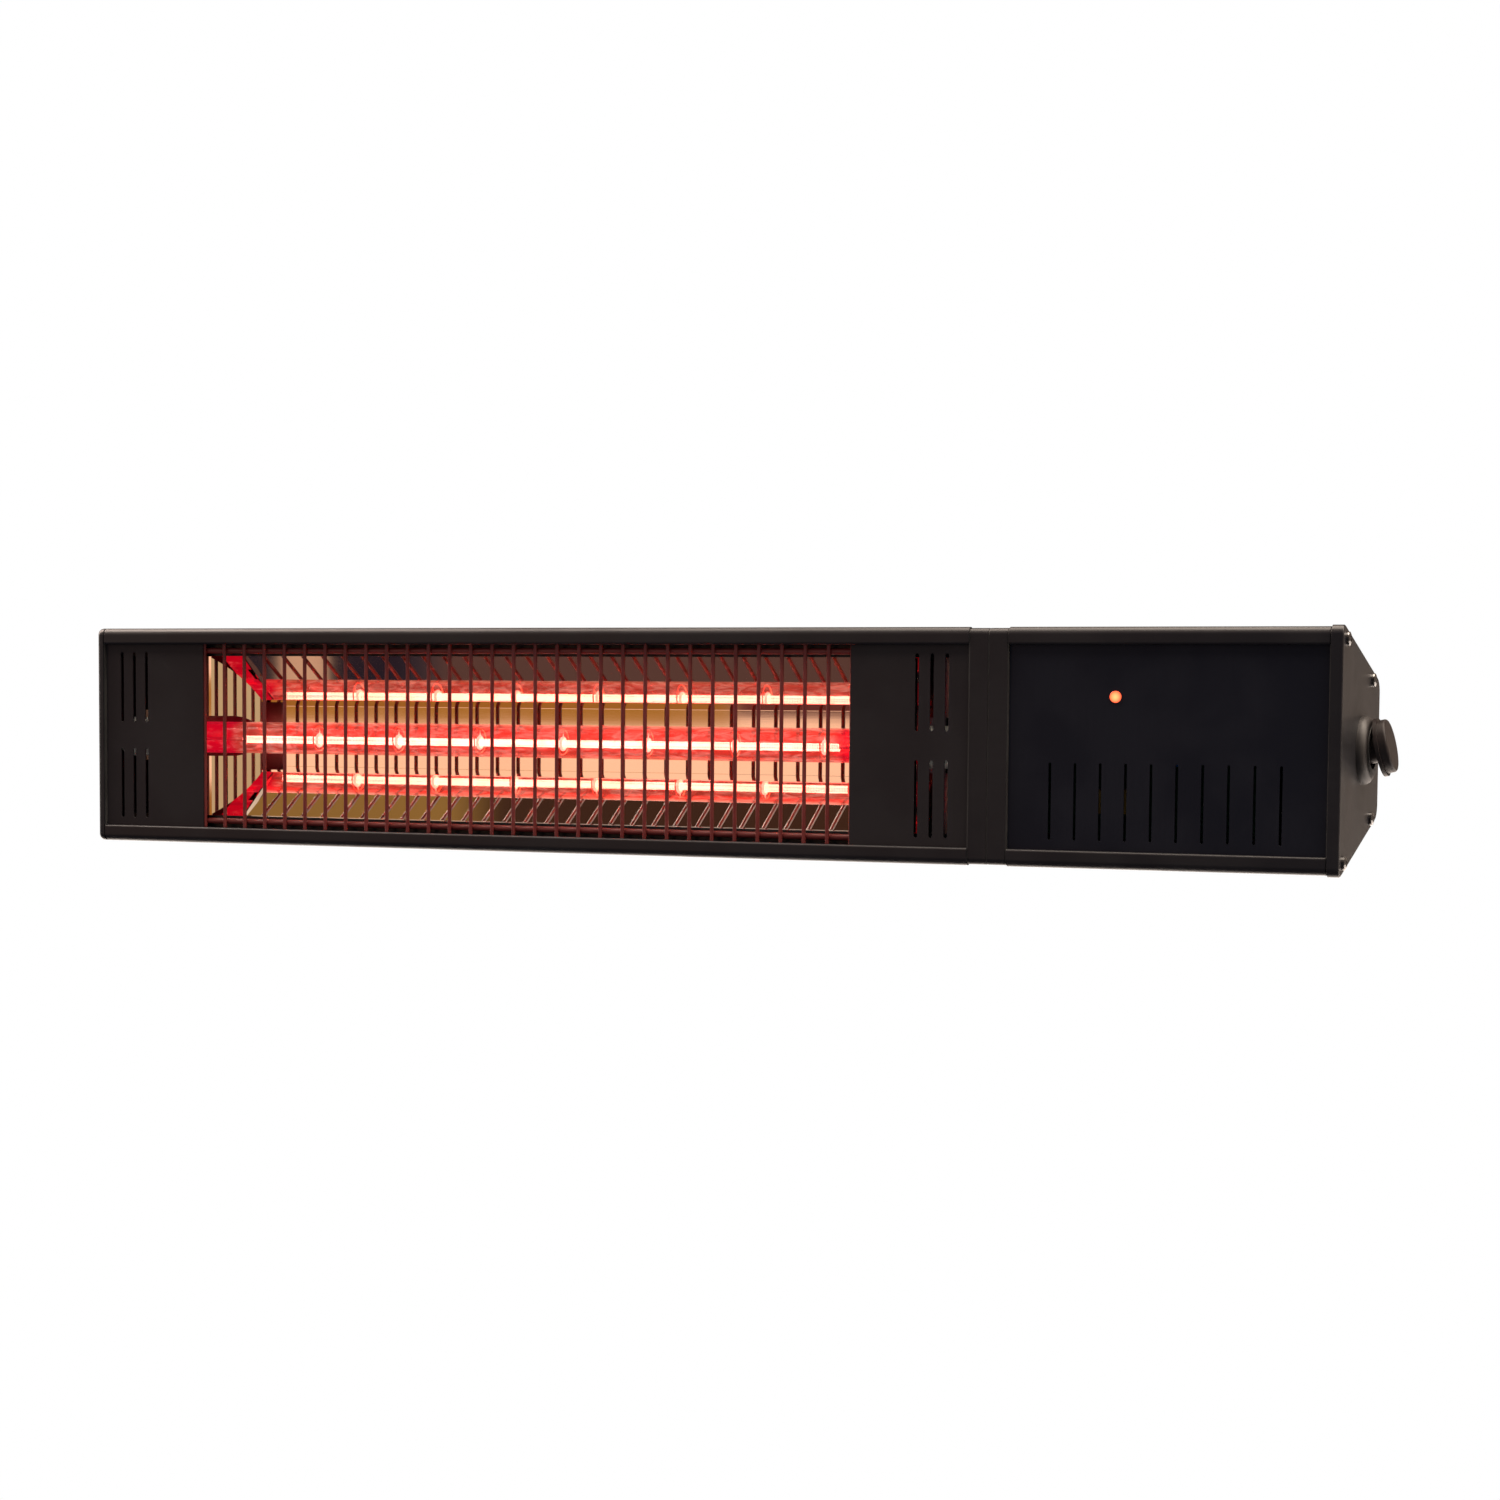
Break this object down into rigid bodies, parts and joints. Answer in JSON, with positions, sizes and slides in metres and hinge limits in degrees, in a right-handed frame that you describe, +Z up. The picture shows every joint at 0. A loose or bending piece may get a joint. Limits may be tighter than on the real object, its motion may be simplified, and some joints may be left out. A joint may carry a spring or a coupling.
{
  "type": "wall-mounted infrared heater",
  "caption": "Long black wall heater: a ruby quartz lamp in a mirror trough behind a wire guard, with a control box and rocker switch at one end and a tilting bracket behind.",
  "frame": {"origin": "centre of the wall bracket's back face, on the wall", "axes": "+X along the body towards the control box, +Y into the wall, +Z up; the heater's window faces -Y"},
  "size_m": [0.6664, 0.1637, 0.1114],
  "materials": {
    "black_aluminium": "satin",
    "black_sheet": "satin",
    "panel_sheet": "satin",
    "black_steel": "satin",
    "black_wire": "satin",
    "zinc_steel": "satin",
    "bright_aluminium": "polished",
    "plain_aluminium": "satin",
    "ruby_glass": "gloss",
    "tungsten": "satin",
    "ceramic": "matte",
    "rubber": "matte",
    "nylon": "satin",
    "black_plastic": "satin",
    "rocker_plastic": "satin",
    "white_lead": "satin",
    "amber_lens": "gloss",
    "green_board": "satin",
    "blue_plastic": "satin",
    "yellow_plastic": "satin",
    "brass": "satin"
  },
  "bodies": {
    "wall_mount": {"wall_bracket": "black_steel", "tilt_bolts": "zinc_steel", "tilt_nuts": "zinc_steel"},
    "heater": {"body_bracket": "black_steel", "tilt_washers": "nylon", "lock_bolts": "zinc_steel", "lock_knobs": "black_plastic", "rail_bolts": "zinc_steel", "rail_nuts": "zinc_steel", "heater_housing": "black_aluminium", "left_end_cap": "black_aluminium", "left_cap_screws": "black_steel", "heater_inner_cap": "black_aluminium", "heater_gaskets": "rubber", "left_cover_plate": "black_sheet", "right_cover_plate": "black_sheet", "guard_wires": "black_wire", "guard_rods": "black_wire", "reflector_trough": "bright_aluminium", "reflector_end_left": "bright_aluminium", "reflector_end_right": "bright_aluminium", "heat_shield": "plain_aluminium", "lamp_tube": "ruby_glass", "lamp_filament": "tungsten", "filament_supports": "tungsten", "lamp_pinches": "zinc_steel", "lamp_bases": "ceramic", "lamp_holders": "zinc_steel", "lamp_leads": "white_lead", "control_housing": "black_aluminium", "control_inner_cap": "black_aluminium", "control_gaskets": "rubber", "seam_gasket": "rubber", "seam_screws": "zinc_steel", "joining_bolts": "zinc_steel", "joining_nuts": "zinc_steel", "right_end_cap": "black_aluminium", "right_cap_screws": "black_steel", "control_panel": "panel_sheet", "indicator_lens": "amber_lens", "indicator_lamp": "amber_lens", "control_board": "green_board", "board_screws": "zinc_steel", "relay": "blue_plastic", "capacitor": "yellow_plastic", "terminal_block": "green_board", "heat_sink": "plain_aluminium", "earth_screw": "brass", "gland_body": "black_plastic", "gland_dome": "black_plastic", "gland_seal": "rubber", "gland_nut": "black_plastic", "switch_collar": "black_plastic", "switch_body": "black_plastic", "switch_nut": "black_plastic", "switch_boot": "rubber", "switch_pin": "zinc_steel", "switch_terminals": "brass", "switch_leads": "white_lead"},
    "rocker": {"switch_rocker": "rocker_plastic"}
  },
  "joints": [
    {"name": "tilt", "type": "hinge", "parent": "wall_mount", "child": "heater", "pos_m": [0, -0.045, 0], "axis": [1, 0, 0], "range_deg": [0, 45]},
    {"name": "rocker_tilt", "type": "hinge", "parent": "heater", "child": "rocker", "pos_m": [0.3263, -0.115, 0], "axis": [0, 1, 0], "range_deg": [0, 24]}
  ]
}
